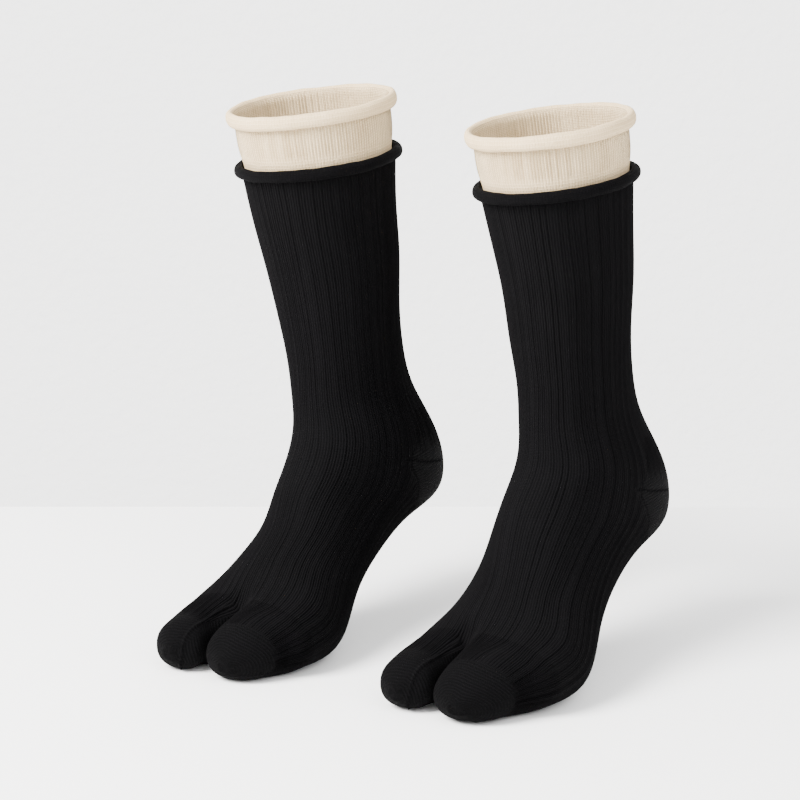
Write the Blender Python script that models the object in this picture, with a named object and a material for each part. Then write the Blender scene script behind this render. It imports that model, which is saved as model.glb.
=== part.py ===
"""A pair of split-toe (tabi) crew socks, each filled out on a raised-heel foot form.

Units are metres. +Z is up, the toes point to -Y and +X is the wearer's left. Tables are in
millimetres, in each sock's own frame: the floor is z = 0 under the forefoot and x = 0 runs down the
middle of the foot. Both socks have the big toe at -X, as shown.
"""
from collections import namedtuple

import bmesh
import bpy
import numpy as np

MM = 0.001

# Cloth
WALL = 1.5            # thickness of the stretched knit
SEAM = 0.3            # clear gap between two pieces where they are joined

# Grid round each tube: columns from the front to the heel edge, and from there to the back
FRONT_COLUMNS = 9
BACK_COLUMNS = 7

# Heel pocket: the stations it spans along the loft, and how far round from the front its edge is
HEEL_TOP = 5.4
HEEL_GORE = 6.45
HEEL_BOTTOM = 7.8
GORE_ANGLE = 83.0     # degrees from the front at the gore's point
HEEL_TAPER = 30.0     # degrees by which the edge draws back at the pocket's top and bottom
HEEL_SEAM_STEP = 0.008     # half of the seam gap, in stations
HEEL_SEAM_ANGLE = 0.25     # half of the seam gap, in degrees

# Rolled edges: half width across the wall, half height along the leg
BLACK_ROLL = (2.8, 3.4)
CREAM_ROLL = (2.5, 4.1)
BLACK_ROLL_OUT = 1.6       # middle of the roll beyond the leg's outer surface
CREAM_ROLL_OUT = 2.6
CREAM_ROLL_RISE = 34.3     # height of the cream roll's middle above the leg's top edge
ROLL_FACETS = 6

# Toe pockets
TOE_POINTS = 16            # corners round each toe pocket
TOE_POWER = 2.3            # superellipse exponent of a toe pocket's own sections
SPLIT_X = (-5.0, -10.0)    # where the toe split divides each foot
SPLIT_STATION = 12         # station of the toe split, whose front is at SPLIT_Y
SPLIT_Y = -128.0
STATION_STEP = 12.0        # length of foot from one section to the next beyond the split

# Stations along the leg-and-foot loft, in table rows
STATIONS = (0, 1, 2, 3, 4, 4.8, HEEL_TOP - HEEL_SEAM_STEP, HEEL_TOP + HEEL_SEAM_STEP, 5.9, HEEL_GORE,
            7.0, HEEL_BOTTOM - HEEL_SEAM_STEP, HEEL_BOTTOM + HEEL_SEAM_STEP, 8.6, 9.4, 10.2, 10.8, 11.3, 12)
TOE_STATIONS = (0, 0.6, 1.3, 2.0, 2.7, 3.3, 3.75)

# One section of the leg or foot. Front and back are its two ends in the middle plane, power is the
# superellipse exponent (2 is an ellipse), belly widens the back or sole and lean tilts it sideways.
Section = namedtuple("Section", "name front_y front_z back_y back_z half_width mid_x belly power lean")
# One section of a toe pocket. slant draws its outer side back, roundness goes from 0 at the split
# (half of the foot's own section) to 1 (a rounded section of its own).
Toe = namedtuple("Toe", "y mid_x half_width top bottom slant roundness")
# One ring of the inner cuff: the leg station it follows, the rise above the leg's top edge and the
# distance of its outer surface inside the leg's outer surface.
Cuff = namedtuple("Cuff", "station rise inset")
# Where a sock stands on the floor.
Place = namedtuple("Place", "name x y turn")

LEG_FOOT_1 = (
    Section("welt", -57, 261.3, 32, 267.3, 43.8, -26.6, 0, 2.0, 0.106),
    Section("upper_leg", -52, 235, 31, 240, 41.3, -24.3, 0, 2.0, 0.10),
    Section("lower_calf", -47, 206, 31, 212, 38.5, -20.5, 0, 2.0, 0.08),
    Section("ankle", -44, 178, 29, 185, 35, -17, 0, 2.0, 0.05),
    Section("tendon", -44, 153, 32, 157, 32, -13.5, 0, 2.0, 0.02),
    Section("heel_top", -46, 133, 43, 130, 31.5, -11, 0, 2.0, 0),
    Section("heel_back", -54, 115, 60, 96, 34, -5, 0, 2.1, 0),
    Section("heel_low", -64, 100, 59, 66, 35, -4, 0.05, 2.2, 0),
    Section("heel_front", -74, 86, 24, 54, 33, -4.5, 0.08, 2.2, 0),
    Section("arch", -86, 71, -16, 42, 32, -2.5, 0.10, 2.2, 0),
    Section("midfoot", -102, 59, -54, 22, 36.5, -1.5, 0.12, 2.1, 0),
    Section("ball", -117, 48.5, -90, -1.5, 42, 0.5, 0.04, 2.25, -0.03),
    Section("split", -128, 40, -120, -1.5, 41.5, 0, -0.02, 2.4, -0.05),
    Section("toe_roots", -140, 36, -136, -1.5, 41, 0, 0, 2.4, -0.03),
    Section("toes", -152, 30, -150, -1.5, 40, 0, 0.10, 2.5, 0),
)
LEG_FOOT_2 = (
    Section("welt", -57, 261.3, 32, 267.3, 41.8, -21.7, 0, 2.0, 0.106),
    Section("upper_leg", -52, 235, 31, 240, 38.9, -19, 0, 2.0, 0.10),
    Section("lower_calf", -47, 206, 31, 212, 36, -16.5, 0, 2.0, 0.08),
    Section("ankle", -44, 178, 29, 185, 33.5, -15, 0, 2.0, 0.05),
    Section("tendon", -44, 153, 32, 157, 31, -12.5, 0, 2.0, 0.02),
    Section("heel_top", -46, 133, 43, 130, 31.5, -11, 0, 2.0, 0),
    Section("heel_back", -55, 115, 60, 96, 35, -6, 0, 2.1, 0),
    Section("heel_low", -67, 100, 60, 66, 37, -6, 0.05, 2.2, 0),
    Section("heel_front", -79, 86, 24, 54, 36, -5, 0.08, 2.2, 0),
    Section("arch", -90, 71, -16, 42, 36, -2.5, 0.10, 2.2, 0),
    Section("midfoot", -103, 59, -54, 22, 40.5, 1, 0.12, 2.1, 0),
    Section("ball", -117, 48.5, -90, -1.5, 46, 3.5, 0.04, 2.25, -0.03),
    Section("split", -128, 40, -120, -1.5, 45, 2.5, -0.02, 2.4, -0.05),
    Section("toe_roots", -140, 36, -136, -1.5, 44.5, 2, 0, 2.4, -0.03),
    Section("toes", -152, 30, -150, -1.5, 43, 1, 0.10, 2.5, 0),
)
BIG_TOE_1 = (
    Toe(-128.3, -28, 15, 37, -2, 0, 0),
    Toe(-138, -29.3, 15, 31.8, -1, 0, 0.8),
    Toe(-149, -29.5, 14.7, 28.3, 0, 0, 1),
    Toe(-157.5, -29.5, 12.2, 22.5, 2.5, 0, 1),
    Toe(-162.5, -29.5, 3.5, 15, 8, 0, 1),
)
BIG_TOE_2 = (
    Toe(-128.3, -28.5, 15.5, 37, -2, 0, 0),
    Toe(-141, -30, 16, 31.8, -1, 0, 0.8),
    Toe(-154, -30, 15.5, 28.8, 0, 0, 1),
    Toe(-163, -30, 13, 23, 2.5, 0, 1),
    Toe(-169, -30, 3.5, 15, 8, 0, 1),
)
SMALL_TOES_1 = (
    Toe(-128.3, 14, 28, 37, -2, 0.05, 0),
    Toe(-139, 11, 23.5, 32.5, -1, 0.12, 0.8),
    Toe(-149.5, 9.5, 20, 27, 0, 0.2, 1),
    Toe(-157.5, 8.5, 13.5, 20.5, 2, 0.12, 1),
    Toe(-163, 8.5, 4, 13, 7, 0.1, 1),
)
SMALL_TOES_2 = (
    Toe(-128.3, 15, 29, 37, -2, 0.05, 0),
    Toe(-142, 12, 25.5, 33, -1, 0.12, 0.8),
    Toe(-154, 10.3, 21.7, 27.5, 0, 0.2, 1),
    Toe(-164, 9, 15, 20.5, 2, 0.12, 1),
    Toe(-170.5, 9, 4, 13, 7, 0.1, 1),
)
CUFF = (
    Cuff(1.0, 0, 2.3),
    Cuff(0.0, 0, 2.0),
    Cuff(0.0, 4.5, 1.9),
    Cuff(0.0, 13, 0.2),
    Cuff(0.0, CREAM_ROLL_RISE - CREAM_ROLL[1] - SEAM, -0.6),
)
PLACES = (Place("sock1", -24, 70, 0), Place("sock2", 120, 84, 0))

# Slot name: colour, roughness
SLOTS = {
    "black_rib": ((0.010, 0.009, 0.010, 1), 0.9),
    "black_plain": ((0.012, 0.011, 0.012, 1), 0.9),
    "cream_rib": ((0.84, 0.76, 0.64, 1), 0.85),
    "cream_plain": ((0.86, 0.79, 0.68, 1), 0.85),
}


def spline(rows, knots, at):
    """Natural cubic through rows (n, k) at the knots, read at the given places."""
    count = len(knots)
    gaps = np.diff(knots)
    system = np.eye(count)
    right = np.zeros_like(rows)
    for i in range(1, count - 1):
        system[i, i - 1] = gaps[i - 1]
        system[i, i] = 2 * (gaps[i - 1] + gaps[i])
        system[i, i + 1] = gaps[i]
        right[i] = 6 * ((rows[i + 1] - rows[i]) / gaps[i] - (rows[i] - rows[i - 1]) / gaps[i - 1])
    bend = np.linalg.solve(system, right)
    low = np.clip(np.searchsorted(knots, at) - 1, 0, count - 2)
    step = (at - knots[low])[:, None]
    gap = gaps[low][:, None]
    slope = (rows[low + 1] - rows[low]) / gap - gap * (2 * bend[low] + bend[low + 1]) / 6
    return rows[low] + step * slope + step ** 2 * bend[low] / 2 + step ** 3 * (bend[low + 1] - bend[low]) / (6 * gap)


def read_table(table, first, knots, stations):
    """Rows of numbers at fractional stations of a table, from column `first` on."""
    rows = np.array([row[first:] for row in table], float)
    places = np.interp(stations, np.arange(len(table)), knots)
    return spline(rows, knots, places)


def path_knots(points):
    """Distance along a broken line through the points."""
    return np.concatenate([[0], np.cumsum(np.linalg.norm(np.diff(points, axis=0), axis=1))])


def superellipse(angle, power):
    """Cosine-like and sine-like factors round a superellipse."""
    c = np.cos(angle)
    s = np.sin(angle)
    return np.sign(c) * np.abs(c) ** (2 / power), np.sign(s) * np.abs(s) ** (2 / power)


def heel_edge(station):
    """Angle from the front, in degrees, of the heel pocket's edge at a station."""
    reach = HEEL_BOTTOM - HEEL_GORE
    away = min(abs(station - HEEL_GORE) / reach, 1.0)
    return GORE_ANGLE + HEEL_TAPER * away ** 1.5


def columns(station):
    """Angles round the tube at a station, with a narrow seam column at each heel edge."""
    edge = heel_edge(station)
    front = np.linspace(0, edge - HEEL_SEAM_ANGLE, FRONT_COLUMNS + 1)
    back = np.linspace(edge + HEEL_SEAM_ANGLE, 180, BACK_COLUMNS + 1)
    half = np.concatenate([front, back])
    return np.radians(np.concatenate([half, 360 - half[-2:0:-1]]))


def section_ring(values, angle, inset=0.0):
    """Points round one section, from the front by way of +X."""
    front_y, front_z, back_y, back_z, half_width, mid_x, belly, power, lean = values
    front = np.array([front_y, front_z])
    back = np.array([back_y, back_z])
    depth = np.linalg.norm(front - back) / 2
    reach = (front - back) / 2 * (depth - inset) / depth
    middle = (front + back) / 2
    u, v = superellipse(angle, power)
    across = v * (half_width - inset) * (1 - belly * u)
    y = middle[0] + u * reach[0]
    z = middle[1] + u * reach[1] + lean * across
    return np.stack([mid_x + across, y, z], axis=-1)


def leg_axis(values):
    """Unit vector up the leg: the normal of a section."""
    across = np.array([1, 0, values[8]])
    along = np.array([0, values[2] - values[0], values[3] - values[1]])
    axis = np.cross(across, along)
    return axis / np.linalg.norm(axis)


def tangent(before, here, after):
    """Direction through three points that may be unevenly spaced."""
    back = here - before
    ahead = after - here
    back_length = np.linalg.norm(back, axis=-1, keepdims=True)
    ahead_length = np.linalg.norm(ahead, axis=-1, keepdims=True)
    return back / back_length * ahead_length + ahead / ahead_length * back_length


def offset_inside(grid, end_axes):
    """The inner surface: each point moved in by the wall, square to the outer surface."""
    down = np.zeros_like(grid)
    down[1:-1] = tangent(grid[:-2], grid[1:-1], grid[2:])
    down[0] = grid[1] - grid[0]
    down[-1] = grid[-1] - grid[-2]
    around = tangent(np.roll(grid, 1, axis=1), grid, np.roll(grid, -1, axis=1))
    normal = np.cross(down, around)
    for row, axis in end_axes.items():
        normal[row] -= (normal[row] @ axis)[:, None] * axis
    normal /= np.linalg.norm(normal, axis=2, keepdims=True)
    return grid - normal * WALL


class Shell:
    """Collects the corners and faces of one closed solid."""

    def __init__(self):
        self.points = []
        self.faces = []
        self.smooth = []
        self.index = {}

    def corner(self, key, point):
        """Index of a corner, added the first time its key is met."""
        if key not in self.index:
            self.index[key] = len(self.points)
            self.points.append(tuple(point))
        return self.index[key]

    def face(self, corners, smooth):
        """Add a face from (key, point) pairs."""
        self.faces.append([self.corner(key, point) for key, point in corners])
        self.smooth.append(smooth)


def wall_solid(outer, inner, cells, pole=None):
    """Closed wall between two grids over the chosen cells, with an optional tip past the last row."""
    shell = Shell()
    rows, around = cells.shape
    for i, j in np.argwhere(cells):
        k = (j + 1) % around
        ring = [(i, j), (i + 1, j), (i + 1, k), (i, k)]
        shell.face([(("out", a, b), outer[a, b]) for a, b in ring], True)
        shell.face([(("in", a, b), inner[a, b]) for a, b in ring[::-1]], True)
        sides = [(i, (j - 1) % around), (i + 1, j), (i, k), (i - 1, j)]
        edges = [(ring[0], ring[1]), (ring[1], ring[2]), (ring[2], ring[3]), (ring[3], ring[0])]
        for (row, column), (a, b) in zip(sides, edges):
            if 0 <= row < rows and cells[row, column]:
                continue
            if row == rows and pole is not None:
                shell.face([(("out",) + a, outer[a]), ("tip_out", pole[0]), (("out",) + b, outer[b])], True)
                shell.face([(("in",) + b, inner[b]), ("tip_in", pole[1]), (("in",) + a, inner[a])], True)
                continue
            shell.face([(("out",) + b, outer[b]), (("out",) + a, outer[a]),
                        (("in",) + a, inner[a]), (("in",) + b, inner[b])], False)
    return shell


def ring_solid(path, outward, axis, half_width, half_height):
    """A rolled edge: an oval section carried round a closed path."""
    angle = np.arange(ROLL_FACETS) * 2 * np.pi / ROLL_FACETS
    side = outward[:, None, :] * (half_width * np.cos(angle))[None, :, None]
    rise = axis[None, None, :] * (half_height * np.sin(angle))[None, :, None]
    grid = path[:, None, :] + side + rise
    shell = Shell()
    count = len(path)
    for i in range(count):
        for j in range(ROLL_FACETS):
            k = (i + 1) % count
            m = (j + 1) % ROLL_FACETS
            shell.face([((a, b), grid[a, b]) for a, b in ((i, j), (k, j), (k, m), (i, m))], True)
    return shell


def roll(section, rise, out, size):
    """The rolled edge that follows a leg section, raised along the leg and set out from it."""
    axis = leg_axis(section)
    path = section_ring(section, columns(0), -out) + axis * rise
    along = np.roll(path, -1, axis=0) - np.roll(path, 1, axis=0)
    outward = np.cross(along, axis)
    outward /= np.linalg.norm(outward, axis=1, keepdims=True)
    return ring_solid(path, outward, axis, *size)


def half_ring(section, side, count, septum, split_x):
    """Half of the split section on one side (+1 or -1): its rim, then the wall along the split."""
    split = split_x + side * SEAM / 2
    fine = np.linspace(0, 2 * np.pi, 1441)
    ring = section_ring(section, fine)
    upper = np.where(fine <= np.pi / 2, fine, np.where(fine >= 1.5 * np.pi, fine - 2 * np.pi, np.nan))
    keep = ~np.isnan(upper)
    order = np.argsort(ring[keep, 0])
    top = np.interp(split, ring[keep, 0][order], upper[keep][order])
    keep = (fine > np.pi / 2) & (fine < 1.5 * np.pi)
    order = np.argsort(ring[keep, 0])
    low = np.interp(split, ring[keep, 0][order], fine[keep][order])
    steps = np.linspace(0, 1, septum + 2)[1:-1, None]
    if side > 0:
        rim = section_ring(section, np.linspace(top, low, count - septum))
        wall = rim[-1] + (rim[0] - rim[-1]) * steps
        return np.concatenate([rim, wall])
    rim = section_ring(section, np.linspace(low, top + 2 * np.pi, count - septum))
    wall = rim[-1] + (rim[0] - rim[-1]) * steps
    return np.concatenate([wall, rim])


def toe_pocket(leg, table, side, septum, split_x):
    """One toe pocket: a cup that runs on from half of the foot's section and rounds to a closed tip."""
    spine = np.array([(row.mid_x, row.y) for row in table])
    rows = read_table(table, 0, path_knots(spine), np.array(TOE_STATIONS))
    stations = np.clip(SPLIT_STATION + (SPLIT_Y - rows[:, 0]) / STATION_STEP, SPLIT_STATION, SPLIT_STATION + 2)
    halves = [half_ring(section, side, TOE_POINTS, septum, split_x) for section in leg(stations)]
    middle = (halves[0].max(axis=0) + halves[0].min(axis=0)) / 2
    angle = np.arctan2(halves[0][:, 0] - middle[0], halves[0][:, 2] - middle[2])
    u, v = superellipse(angle, TOE_POWER)
    rings = []
    for half, (y, mid_x, half_width, top, bottom, slant, roundness) in zip(halves, rows):
        across = v * half_width
        target = np.stack([mid_x + across, y + slant * across, (top + bottom) / 2 + u * (top - bottom) / 2], axis=-1)
        share = min(max(roundness, 0), 1)
        blend = share ** 2 * (3 - 2 * share)
        rings.append(half * (1 - blend) + target * blend)
    outer = np.array(rings)
    outer[..., 2] = np.maximum(outer[..., 2], 0)
    inner = offset_inside(outer, {0: np.array([0.0, 1.0, 0.0])})
    last = table[-1]
    tip = np.array([last.mid_x, last.y, (last.top + last.bottom) / 2])
    cells = np.ones((len(outer) - 1, TOE_POINTS), bool)
    return wall_solid(outer, inner, cells, (tip, tip + np.array([0, WALL, 0])))


def inner_cuff(leg, top_section):
    """The cream cuff: a tube inside the leg that widens above its top edge."""
    axis = leg_axis(top_section)
    rings = []
    for row in CUFF:
        ring = section_ring(leg(np.array([row.station]))[0], columns(0), row.inset)
        rings.append(ring + axis * row.rise)
    outer = np.array(rings[::-1])
    inner = offset_inside(outer, {0: axis, -1: axis})
    return wall_solid(outer, inner, np.ones((len(CUFF) - 1, outer.shape[1]), bool))


def sock_shells(sections, big_toe, small_toes, split_x):
    """Every piece of one sock as (node ending, slot, shell)."""
    spine = np.array([((s.front_y + s.back_y) / 2, (s.front_z + s.back_z) / 2) for s in sections])
    knots = path_knots(spine)

    def leg(stations):
        return read_table(sections, 1, knots, stations)

    rows = leg(np.array(STATIONS, float))
    outer = np.array([section_ring(row, columns(s)) for row, s in zip(rows, STATIONS)])
    outer[..., 2] = np.maximum(outer[..., 2], 0)
    inner = offset_inside(outer, {0: leg_axis(rows[0]), -1: leg_axis(rows[-1])})
    count = outer.shape[1]
    first = STATIONS.index(HEEL_TOP + HEEL_SEAM_STEP)
    last = STATIONS.index(HEEL_BOTTOM - HEEL_SEAM_STEP)
    row, column = np.indices((len(STATIONS) - 1, count))
    under = (column > FRONT_COLUMNS) & (column < count - FRONT_COLUMNS - 1)
    over = (column < FRONT_COLUMNS) | (column > count - FRONT_COLUMNS - 1)
    black_rise = SEAM + BLACK_ROLL[1]
    return (
        ("leg", "black_rib", wall_solid(outer, inner, row < first - 1)),
        ("instep", "black_rib", wall_solid(outer, inner, (row >= first) & over)),
        ("heel", "black_plain", wall_solid(outer, inner, (row >= first) & (row < last) & under)),
        ("sole", "black_plain", wall_solid(outer, inner, (row > last) & under)),
        ("big_toe", "black_plain", toe_pocket(leg, big_toe, -1, 5, split_x)),
        ("small_toes", "black_plain", toe_pocket(leg, small_toes, 1, 4, split_x)),
        ("edge_roll", "black_plain", roll(rows[0], black_rise, BLACK_ROLL_OUT, BLACK_ROLL)),
        ("cuff", "cream_rib", inner_cuff(leg, rows[0])),
        ("cuff_roll", "cream_plain", roll(rows[0], CREAM_ROLL_RISE, CREAM_ROLL_OUT, CREAM_ROLL)),
    )


def opening_centre(sections, place):
    """Middle of a sock's top opening, at the level of the cream roll, in millimetres."""
    top = sections[0]
    middle = np.array([top.mid_x, (top.front_y + top.back_y) / 2, (top.front_z + top.back_z) / 2])
    return middle + leg_axis(top[1:]) * CREAM_ROLL_RISE + np.array([place.x, place.y, 0])


def add_object(name, slot, shell, place, origin):
    """Turn a shell into a named mesh object with its own material."""
    turn = np.radians(place.turn)
    points = np.array(shell.points)
    x = points[:, 0] * np.cos(turn) - points[:, 1] * np.sin(turn) + place.x
    y = points[:, 0] * np.sin(turn) + points[:, 1] * np.cos(turn) + place.y
    world = (np.stack([x, y, points[:, 2]], axis=-1) - origin) * MM
    mesh = bpy.data.meshes.new(name)
    mesh.from_pydata(world.tolist(), [], shell.faces)
    mesh.polygons.foreach_set("use_smooth", shell.smooth)
    work = bmesh.new()
    work.from_mesh(mesh)
    bmesh.ops.triangulate(work, faces=work.faces[:])
    work.to_mesh(mesh)
    work.free()
    item = bpy.data.objects.new(name, mesh)
    bpy.context.scene.collection.objects.link(item)
    colour, roughness = SLOTS[slot]
    material = bpy.data.materials.new(name + "_" + slot)
    material.use_nodes = True
    shader = material.node_tree.nodes["Principled BSDF"]
    shader.inputs["Base Color"].default_value = colour
    shader.inputs["Roughness"].default_value = roughness
    material.diffuse_color = colour
    mesh.materials.append(material)


def main():
    """Build both socks about the point midway between their two top openings."""
    for old in list(bpy.data.objects):
        bpy.data.objects.remove(old, do_unlink=True)
    tables = (
        (LEG_FOOT_1, BIG_TOE_1, SMALL_TOES_1, SPLIT_X[0]),
        (LEG_FOOT_2, BIG_TOE_2, SMALL_TOES_2, SPLIT_X[1]),
    )
    centres = [opening_centre(table[0], place) for table, place in zip(tables, PLACES)]
    origin = (centres[0] + centres[1]) / 2
    for table, place in zip(tables, PLACES):
        for ending, slot, shell in sock_shells(*table):
            add_object(place.name + "_" + ending, slot, shell, place, origin)
    print("origin above the floor, mm:", np.round(origin, 2), "openings:", np.round(centres - origin, 2))


main()
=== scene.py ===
"""Looks of a pair of split-toe socks: ribbed legs, plain heels and toes, rolled edges and cream cuffs.

Lengths in the tables are millimetres in each sock's own frame: the floor is z = 0 under the
forefoot, the toes point to -Y, +X is the wearer's left and x = 0 runs down the middle of the foot.
"""

import logging
import math
from dataclasses import astuple, dataclass, field
from enum import Enum
from typing import Dict, List, Optional, Sequence, Tuple

import bpy
import numpy as np
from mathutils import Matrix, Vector


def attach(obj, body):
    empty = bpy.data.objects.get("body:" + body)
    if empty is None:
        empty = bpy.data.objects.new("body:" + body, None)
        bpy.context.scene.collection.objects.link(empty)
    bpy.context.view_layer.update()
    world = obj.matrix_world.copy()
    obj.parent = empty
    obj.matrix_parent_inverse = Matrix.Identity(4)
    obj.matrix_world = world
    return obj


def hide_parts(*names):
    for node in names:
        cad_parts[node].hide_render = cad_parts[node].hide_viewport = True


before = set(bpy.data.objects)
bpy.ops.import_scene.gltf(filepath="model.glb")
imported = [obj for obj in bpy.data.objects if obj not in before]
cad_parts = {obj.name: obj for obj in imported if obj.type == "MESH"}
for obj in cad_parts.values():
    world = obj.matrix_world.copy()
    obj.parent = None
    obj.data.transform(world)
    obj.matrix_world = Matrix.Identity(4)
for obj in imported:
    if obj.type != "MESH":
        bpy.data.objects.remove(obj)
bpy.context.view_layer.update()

LOG = logging.getLogger("socks")
MM = 0.001
BODY = "root"

WALL = 1.5                 # thickness of the stretched knit
RIBS = 160                 # ribs round the leg and the foot
RIB_STEPS = 4              # grid columns per rib
HEEL_TOP = 5.4             # stations of the heel pocket on the leg-and-foot loft
HEEL_GORE = 6.45
HEEL_BOTTOM = 7.8
GORE_ANGLE = 83.0          # degrees from the front at the gore's point
HEEL_TAPER = 30.0          # degrees by which the pocket's edge draws back above and below it
SPLIT_STATION = 12.0       # where the toes divide
SPLIT_Y = -128.0           # front of the split
STATION_STEP = 12.0        # distance between stations past the split
CUFF_STATION = 26.0        # length of a station at the top of the leg
DIP_DEPTH = 9.0            # valley above the split
DIP_WIDTH = 5.0
COURSE = 0.95              # height of one knitted row


class Slot(Enum):
    """The record's material slots."""

    BLACK_RIB = "black_rib"
    BLACK_PLAIN = "black_plain"
    CREAM_RIB = "cream_rib"
    CREAM_PLAIN = "cream_plain"


@dataclass(frozen=True)
class Section:
    """One section of the leg or foot.

    Front and back are its ends in the middle plane, power is the superellipse exponent (2 is an
    ellipse), belly widens the back or sole and lean tilts it sideways.
    """

    front_y: float
    front_z: float
    back_y: float
    back_z: float
    half_width: float
    mid_x: float
    belly: float
    power: float
    lean: float


@dataclass(frozen=True)
class Toe:
    """One section of a toe pocket; roundness goes from 0, half of the foot's section, to 1."""

    y: float
    mid_x: float
    half_width: float
    top: float
    bottom: float
    slant: float
    roundness: float


@dataclass(frozen=True)
class CuffRing:
    """One ring of the inner cuff: leg station, rise above the leg's edge, inset from its outside."""

    station: float
    rise: float
    inset: float


@dataclass(frozen=True)
class GoreLine:
    """A line of stitches at the heel: points as station and degrees from the front, then its stitches."""

    points: Tuple[Tuple[float, float], ...]
    height: float
    half_width: float
    pitch: float
    broken: float


LEG_FOOT_1 = (
    Section(-57, 261.3, 32, 267.3, 43.8, -26.6, 0, 2.0, 0.106),
    Section(-52, 235, 31, 240, 41.3, -24.3, 0, 2.0, 0.10),
    Section(-47, 206, 31, 212, 38.5, -20.5, 0, 2.0, 0.08),
    Section(-44, 178, 29, 185, 35, -17, 0, 2.0, 0.05),
    Section(-44, 153, 32, 157, 32, -13.5, 0, 2.0, 0.02),
    Section(-46, 133, 43, 130, 31.5, -11, 0, 2.0, 0),
    Section(-54, 115, 60, 96, 34, -5, 0, 2.1, 0),
    Section(-64, 100, 59, 66, 35, -4, 0.05, 2.2, 0),
    Section(-74, 86, 24, 54, 33, -4.5, 0.08, 2.2, 0),
    Section(-86, 71, -16, 42, 32, -2.5, 0.10, 2.2, 0),
    Section(-102, 59, -54, 22, 36.5, -1.5, 0.12, 2.1, 0),
    Section(-117, 48.5, -90, -1.5, 42, 0.5, 0.04, 2.25, -0.03),
    Section(-128, 40, -120, -1.5, 41.5, 0, -0.02, 2.4, -0.05),
    Section(-140, 36, -136, -1.5, 41, 0, 0, 2.4, -0.03),
    Section(-152, 30, -150, -1.5, 40, 0, 0.10, 2.5, 0),
)
LEG_FOOT_2 = (
    Section(-57, 261.3, 32, 267.3, 41.8, -21.7, 0, 2.0, 0.106),
    Section(-52, 235, 31, 240, 38.9, -19, 0, 2.0, 0.10),
    Section(-47, 206, 31, 212, 36, -16.5, 0, 2.0, 0.08),
    Section(-44, 178, 29, 185, 33.5, -15, 0, 2.0, 0.05),
    Section(-44, 153, 32, 157, 31, -12.5, 0, 2.0, 0.02),
    Section(-46, 133, 43, 130, 31.5, -11, 0, 2.0, 0),
    Section(-55, 115, 60, 96, 35, -6, 0, 2.1, 0),
    Section(-67, 100, 60, 66, 37, -6, 0.05, 2.2, 0),
    Section(-79, 86, 24, 54, 36, -5, 0.08, 2.2, 0),
    Section(-90, 71, -16, 42, 36, -2.5, 0.10, 2.2, 0),
    Section(-103, 59, -54, 22, 40.5, 1, 0.12, 2.1, 0),
    Section(-117, 48.5, -90, -1.5, 46, 3.5, 0.04, 2.25, -0.03),
    Section(-128, 40, -120, -1.5, 45, 2.5, -0.02, 2.4, -0.05),
    Section(-140, 36, -136, -1.5, 44.5, 2, 0, 2.4, -0.03),
    Section(-152, 30, -150, -1.5, 43, 1, 0.10, 2.5, 0),
)
BIG_TOE_1 = (
    Toe(-128.3, -28, 15, 37, -2, 0, 0),
    Toe(-138, -29.3, 15, 31.8, -1, 0, 0.8),
    Toe(-149, -29.5, 14.7, 28.3, 0, 0, 1),
    Toe(-157.5, -29.5, 12.2, 22.5, 2.5, 0, 1),
    Toe(-162.5, -29.5, 3.5, 15, 8, 0, 1),
)
BIG_TOE_2 = (
    Toe(-128.3, -28.5, 15.5, 37, -2, 0, 0),
    Toe(-141, -30, 16, 31.8, -1, 0, 0.8),
    Toe(-154, -30, 15.5, 28.8, 0, 0, 1),
    Toe(-163, -30, 13, 23, 2.5, 0, 1),
    Toe(-169, -30, 3.5, 15, 8, 0, 1),
)
SMALL_TOES_1 = (
    Toe(-128.3, 14, 28, 37, -2, 0.05, 0),
    Toe(-139, 11, 23.5, 32.5, -1, 0.12, 0.8),
    Toe(-149.5, 9.5, 20, 27, 0, 0.2, 1),
    Toe(-157.5, 8.5, 13.5, 20.5, 2, 0.12, 1),
    Toe(-163, 8.5, 4, 13, 7, 0.1, 1),
)
SMALL_TOES_2 = (
    Toe(-128.3, 15, 29, 37, -2, 0.05, 0),
    Toe(-142, 12, 25.5, 33, -1, 0.12, 0.8),
    Toe(-154, 10.3, 21.7, 27.5, 0, 0.2, 1),
    Toe(-164, 9, 15, 20.5, 2, 0.12, 1),
    Toe(-170.5, 9, 4, 13, 7, 0.1, 1),
)
BIG_TOE_SEAM = ((-15, -128.5, 32), (-15.7, -134, 31.5), (-16.8, -140, 30), (-19.3, -146, 27.5),
                (-22, -152, 23), (-23.5, -157, 16), (-24.5, -159, 8), (-25.5, -157, 2))
RIB_END_SEAM = ((-4, -143, 28), (4, -145, 27.5), (13, -146.8, 27), (20, -147, 25.5),
                (26.5, -145.5, 22.5), (31, -142, 17))
LOW_SEAM = ((2, -158.5, 6), (9, -159, 6), (17, -157, 6), (24, -149, 6), (29, -139, 6))
CREAM_ROLL_RISE = 34.3     # height of the cream roll's middle above the leg's edge
CUFF_TOP = 36.9            # where the cuff's wall ends inside its roll
GORE_LINES = (
    GoreLine(((6.45, 80), (6.47, 90), (6.49, 102), (6.50, 122)), -0.75, 0.7, 2.2, 0.9),
    GoreLine(((6.46, 84), (6.70, 87.5), (6.95, 92.5), (7.2, 98), (7.5, 105)), -0.55, 0.7, 2.3, 0.7),
    GoreLine(((5.62, 97), (5.95, 92), (6.25, 87), (6.45, 83.5)), -0.3, 0.8, 2.0, 0.3),
)
CUFF = (
    CuffRing(1.0, 0, 2.3),
    CuffRing(0.0, 0, 2.0),
    CuffRing(0.0, 4.5, 1.9),
    CuffRing(0.0, 13, 0.4),
    CuffRing(0.0, 30.5, -0.6),
    CuffRing(0.0, CUFF_TOP, -0.7),
)


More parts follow.
